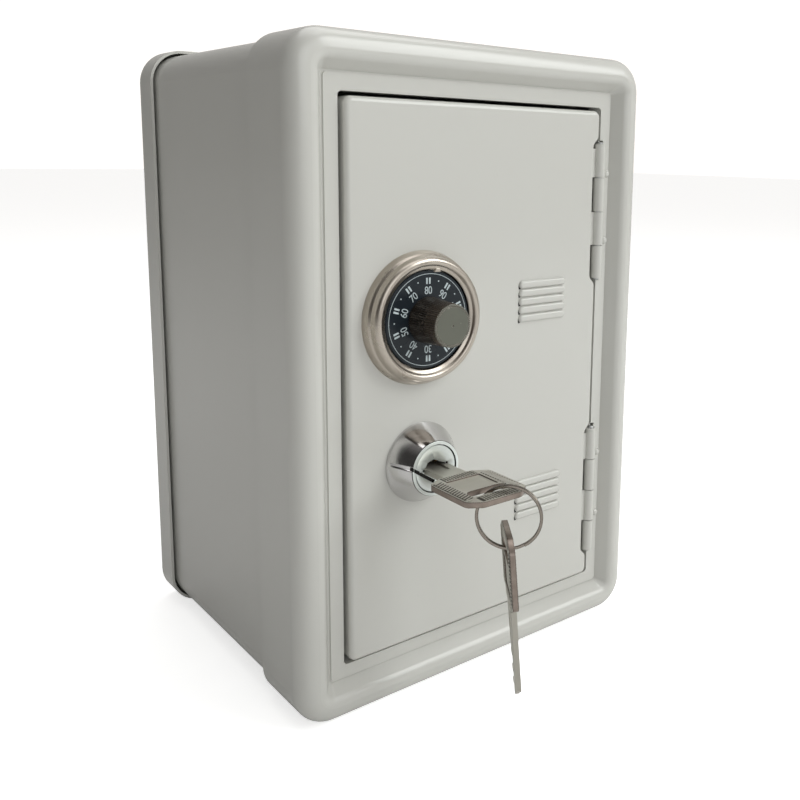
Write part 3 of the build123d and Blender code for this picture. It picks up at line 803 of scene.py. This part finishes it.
def keyOutline(shape):
    # half outlines of bow and neck, then the blade with its cuts
    half, near = shape["bowWidth"] / 2, -shape["neckLength"]
    far = near - shape["bowLength"]
    neck, tip = shape["neckWidth"] / 2, shape["bladeWidth"] / 2
    end = shape["bladeLength"]
    right = [(neck, near), (half - 4.6, near), (half - 0.5, near - 2.3), (half, near - 3.1),
             (half, far + 3.2), (half - 0.4, far + 2.2), (half - 3.4, far + 0.2), (half - 4.2, far)]
    left = [(-x, y) for x, y in reversed(right)]
    cuts = [(tip, 0), (tip, 2.2), (tip - 1.1, 3.3), (tip - 1.1, 4.4), (tip - 0.3, 5.4), (tip - 0.3, 6.2),
            (tip - 1.6, 7.4), (tip - 1.6, 8.6), (tip - 0.6, 9.8), (tip - 0.6, 10.8), (tip - 1.3, 11.8),
            (tip - 1.3, 12.8), (tip - 0.4, 13.8), (1.0, end), (-1.0, end), (-tip, end - 2.0), (-tip, 0)]
    return right + left + [(-neck, near), (-neck, 0)] + list(reversed(cuts)) + [(neck, 0)]


def slotOutline(shape):
    # the long hole near the bow's outer end, with round ends
    y = -(shape["neckLength"] + shape["bowLength"]) + shape["strip"] + shape["slotWidth"] / 2
    radius = shape["slotWidth"] / 2
    reach = shape["slotLength"] / 2 - radius
    steps = [math.pi * step / 8 for step in range(9)]
    right = [(reach + radius * math.sin(a), y - radius * math.cos(a)) for a in steps]
    left = [(-reach - radius * math.sin(a), y + radius * math.cos(a)) for a in steps]
    return right + left


def makeKey(shape):
    near = -shape["neckLength"]
    far = near - shape["bowLength"]
    half, face = shape["bowWidth"] / 2, shape["thickness"] / 2
    plate = sheetShape("keyPlate", keyOutline(shape), shape["thickness"])
    cutAway(plate, sheetShape("slotCutter", slotOutline(shape), 4.0))
    panelOutline = oblong(0, near - shape["panelMiddle"], shape["panelWidth"], shape["panelLength"])
    grooveOutline = oblong(0, shape["grooveMiddle"], shape["grooveWidth"], shape["grooveLength"])
    for side in (-1, 1):
        panel = sheetShape("panelCutter", panelOutline, shape["panelCut"])
        placeBy(panel, Matrix.Translation((0, 0, side * face * mm)))
        cutAway(plate, panel)
        groove = sheetShape("grooveCutter", grooveOutline, shape["grooveCut"])
        placeBy(groove, Matrix.Translation((side * shape["grooveSide"] * mm, 0, side * face * mm)))
        cutAway(plate, groove)
    softenEdges(plate, 0.15, 2, 40)
    paint(plate, "keyNickel", "keyEdge", "keyShade")
    # the sides take keyEdge; the bevels between face and side take keyShade, a painted shade line along the
    # edges
    for part in plate.data.polygons:
        if part.center.y < (near - 0.3) * mm and abs(part.normal.z) < 0.97:
            part.material_index = 1 if abs(part.normal.z) < 0.5 else 2
    # painted shade: a dark sheet under each band of hatching stands in for the shade between the ridges
    shadeBeds = []
    for side in (-1, 1):
        for x, y, wide, high in [
            (half - 1.95, near - 9.6, 2.9, 13.6), (1.95 - half, near - 9.6, 2.9, 13.6),
            (0.0, near - 1.75, 10.6, 2.5), (0.0, far + 2.0, 11.6, 2.9),
        ]:
            shadeBed = sheetShape("hatchShadeBed", oblong(x, y, wide, high), shape["shadeBedThickness"])
            placeBy(shadeBed, Matrix.Translation((0, 0, side * face * mm)))
            shadeBeds.append(shadeBed)
    # ridges as (x, y, length, turn): slanting rows on both flanks, upright ones at the bow's two ends
    lean = math.radians(shape["ridgeLean"])
    ridges = []
    for row in range(int((shape["bowLength"] - 5.0) / shape["ridgePitch"])):
        y = far + 3.0 + row * shape["ridgePitch"]
        ridges += [(2.0 - half, y, 2.9, -lean), (half - 2.0, y, 2.9, lean)]
    for column in range(shape["columns"]):
        x = (column - (shape["columns"] - 1) / 2) * shape["columnPitch"]
        ridges += [(x, near - 1.8, 2.4, math.radians(90)), (x, far + 1.9, 2.7, math.radians(90))]
    model = sheetShape("ridge", oblong(0, 0, 1.0, shape["ridgeWidth"]), 1.0)
    select(model)
    bpy.ops.object.mode_set(mode="EDIT")
    pickFaces(model, lambda centre, normal: normal.z > 0.9)
    bpy.ops.transform.resize(value=(0.94, 0.45, 1))
    bpy.ops.object.mode_set(mode="OBJECT")
    hatching = []
    for x, y, length, turn in ridges:
        for side in (-1, 1):
            ridge = copyOf(model, "ridge")
            spot = Matrix.Translation((x * mm, y * mm, side * face * mm))
            over = Matrix.Rotation(math.pi if side < 0 else 0.0, 4, "X")
            size = Matrix.Diagonal((length, 1, 2 * shape["ridgeHeight"], 1))
            ridge.data.transform(spot @ Matrix.Rotation(turn, 4, "Z") @ over @ size)
            hatching.append(ridge)
    bpy.data.objects.remove(model)
    hatch = joinAll("keyHatch", hatching)
    paint(hatch, "keyNickel")
    shadeBed = joinAll("hatchShadeBed", shadeBeds)
    paint(shadeBed, "keyShade")
    return joinAll("keyModel", [plate, hatch, shadeBed])


keyModel = makeKey(keyShape)
print("key model made:", len(keyModel.data.polygons), "faces")
keyLow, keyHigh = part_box("key")
keyCentre = middle("key")
keyInLock = copyOf(keyModel, "keyInLock")
shoulder = keyHigh.y - keyShape["bladeLength"] * mm
placeBy(keyInLock, Matrix.Translation((keyCentre.x, shoulder, keyCentre.z)))
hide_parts("key")
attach(keyInLock, "key")

ring = {
    "turn": -45.0, "middle": 8.2, "height": 0.8, "width": 0.48, "corner": 0.12, "gap": 0.04,
    "jog": 24.0, "jogSteps": 10, "steps": 120, "seam": 60.0,
}
ringCentre = middle("key_ring")
ringTurn = Matrix.Translation(ringCentre) @ Matrix.Rotation(math.radians(ring["turn"]), 4, "Z")
keyRing = startMesh("keyRing")
wide, high = ring["width"] / 2, ring["height"] / 2
shift = (ring["width"] + ring["gap"]) / 2
flatWide, flatHigh = wide - ring["corner"], high - ring["corner"]
drawLine([Vector(((ring["middle"] + radius) * mm, (depth - shift) * mm, 0)) for radius, depth in [
    (-high, -flatWide), (-flatHigh, -wide), (flatHigh, -wide), (high, -flatWide),
    (high, flatWide), (flatHigh, wide), (-flatHigh, wide), (-high, flatWide)]])
closeLine(keyRing)
bpy.ops.mesh.select_all(action="SELECT")
# one turn, a short step aside, and the second turn beside the first
jog = math.radians(ring["jog"])
bpy.ops.mesh.spin(steps=ring["steps"], angle=full - jog, center=(0, 0, 0), axis=(0, 1, 0))
for step in range(ring["jogSteps"]):
    bpy.ops.mesh.spin(steps=1, angle=jog / ring["jogSteps"], center=(0, 0, 0), axis=(0, 1, 0))
    bpy.ops.transform.translate(value=(0, 2 * shift * mm / ring["jogSteps"], 0))
bpy.ops.mesh.spin(steps=ring["steps"], angle=full - jog, center=(0, 0, 0), axis=(0, 1, 0))
bpy.ops.mesh.select_mode(type="VERT")
bpy.ops.mesh.select_all(action="SELECT")
bpy.ops.mesh.remove_doubles(threshold=0.002 * mm)
pickEdges(keyRing, lambda one: one.is_boundary)
bpy.ops.mesh.fill()
finishMesh(keyRing, 40)
placeBy(keyRing, ringTurn @ Matrix.Rotation(math.radians(ring["seam"]), 4, "Y"))
paint(keyRing, "ringSteel")
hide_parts("key_ring")
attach(keyRing, "ring")

hanging = {"turn": 57.0, "lean": -4.5, "room": 0.9}
spareKey = joinAll("spareKey", [keyModel])
slotEdge = keyShape["neckLength"] + keyShape["bowLength"] - keyShape["strip"]
placeBy(
    spareKey,
    Matrix.Translation((ringCentre.x, ringCentre.y, ringCentre.z - ring["middle"] * mm))
    @ Matrix.Rotation(math.radians(hanging["turn"]), 4, "Z")
    @ Matrix.Rotation(math.radians(hanging["lean"]), 4, "X")
    @ Matrix.Translation((0, 0, (hanging["room"] - slotEdge) * mm))
    @ Matrix.Rotation(math.radians(-90), 4, "X"),
)
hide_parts("spare_key")
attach(spareKey, "spare_key")
print("keys and ring made")

# floor, light and camera

studio = {
    "floorSize": 12.0, "floorColour": (0.88, 0.88, 0.875), "floorGlow": 0.03, "floorSeen": 0.66,
    "skyColour": (1.0, 0.97, 0.935), "skyLeft": 0.05, "skyRight": 0.45, "skySpan": (-0.8, 0.3),
    "skySeen": 1.12,
    "lens": 41.25, "shift": (-0.15, -0.12), "place": (-159.9, -248.1, 150.9),
    "heading": 40.76, "tilt": -9.32, "roll": 1.16,
}
bpy.ops.object.select_all(action="DESELECT")
bpy.ops.mesh.primitive_plane_add(size=studio["floorSize"])
floor = bpy.context.active_object
floor.name = "floor"
floorFinish = bpy.data.materials.new("paleFloor")
floorFinish.use_nodes = True
floorShader = floorFinish.node_tree.nodes["Principled BSDF"]
floorShader.inputs["Base Color"].default_value = (*studio["floorColour"], 1)
floorShader.inputs["Roughness"].default_value = 0.7
floorShader.inputs["Emission Color"].default_value = (1, 1, 1, 1)
floorRays = floorFinish.node_tree.nodes.new("ShaderNodeLightPath")
glow = floorFinish.node_tree.nodes.new("ShaderNodeMapRange")
glow.inputs["To Min"].default_value = studio["floorGlow"]
glow.inputs["To Max"].default_value = studio["floorSeen"]
floorFinish.node_tree.links.new(floorRays.outputs["Is Camera Ray"], glow.inputs["Value"])
floorFinish.node_tree.links.new(glow.outputs["Result"], floorShader.inputs["Emission Strength"])
floor.data.materials.append(floorFinish)

world = bpy.data.worlds.new("studioSky")
world.use_nodes = True
bpy.context.scene.world = world
sky = world.node_tree.nodes["Background"]
sky.inputs["Color"].default_value = (*studio["skyColour"], 1)
# dimmer on the left, and white where the camera sees it
direction = world.node_tree.nodes.new("ShaderNodeTexCoord")
sideways = world.node_tree.nodes.new("ShaderNodeSeparateXYZ")
dimming = world.node_tree.nodes.new("ShaderNodeMapRange")
dimming.inputs["From Min"].default_value, dimming.inputs["From Max"].default_value = studio["skySpan"]
dimming.inputs["To Min"].default_value = studio["skyLeft"]
dimming.inputs["To Max"].default_value = studio["skyRight"]
rays = world.node_tree.nodes.new("ShaderNodeLightPath")
seen = world.node_tree.nodes.new("ShaderNodeMath")
seen.operation = "MAXIMUM"
bright = world.node_tree.nodes.new("ShaderNodeMath")
bright.operation = "MULTIPLY"
bright.inputs[1].default_value = studio["skySeen"]
link = world.node_tree.links.new
link(direction.outputs["Generated"], sideways.inputs["Vector"])
link(sideways.outputs["X"], dimming.inputs["Value"])
link(dimming.outputs["Result"], seen.inputs[0])
link(rays.outputs["Is Camera Ray"], bright.inputs[0])
link(bright.outputs["Value"], seen.inputs[1])
link(seen.outputs["Value"], sky.inputs["Strength"])

lamps = {
    "key": {"place": (0.62, -0.75, 0.75), "size": (0.6, 0.8), "power": 6.3, "colour": (0.97, 1.0, 0.99)},
    "fill": {"place": (-0.25, -0.9, 0.5), "size": (0.7, 0.7), "power": 1.95, "colour": (0.97, 0.99, 1.0)},
    "top": {"place": (0.1, 0.1, 1.0), "size": (0.8, 0.8), "power": 3.3, "colour": (1.0, 1.0, 1.0)},
}
target = Vector((0, 0, 0.09))  # half way up the safe
for name, lamp in lamps.items():
    bpy.ops.object.light_add(type="AREA", location=lamp["place"])
    light = bpy.context.active_object
    light.name = name
    light.data.shape = "RECTANGLE"
    light.data.size, light.data.size_y = lamp["size"]
    light.data.energy = lamp["power"]
    light.data.color = lamp["colour"]
    light.rotation_euler = (target - light.location).to_track_quat("-Z", "Y").to_euler()

bpy.ops.object.camera_add()
camera = bpy.context.active_object
camera.name = "camera"
camera.data.lens = studio["lens"]
camera.data.sensor_width = 36.0
camera.data.shift_x, camera.data.shift_y = studio["shift"]
camera.data.clip_start = 0.01
camera.matrix_world = (
    Matrix.Translation(Vector(studio["place"]) * mm)
    @ Matrix.Rotation(-math.radians(studio["heading"]), 4, "Z")
    @ Matrix.Rotation(math.radians(90 + studio["tilt"]), 4, "X")
    @ Matrix.Rotation(math.radians(studio["roll"]), 4, "Z")
)
bpy.context.scene.camera = camera
bpy.context.scene.view_settings.view_transform = "Standard"
print("stage set")
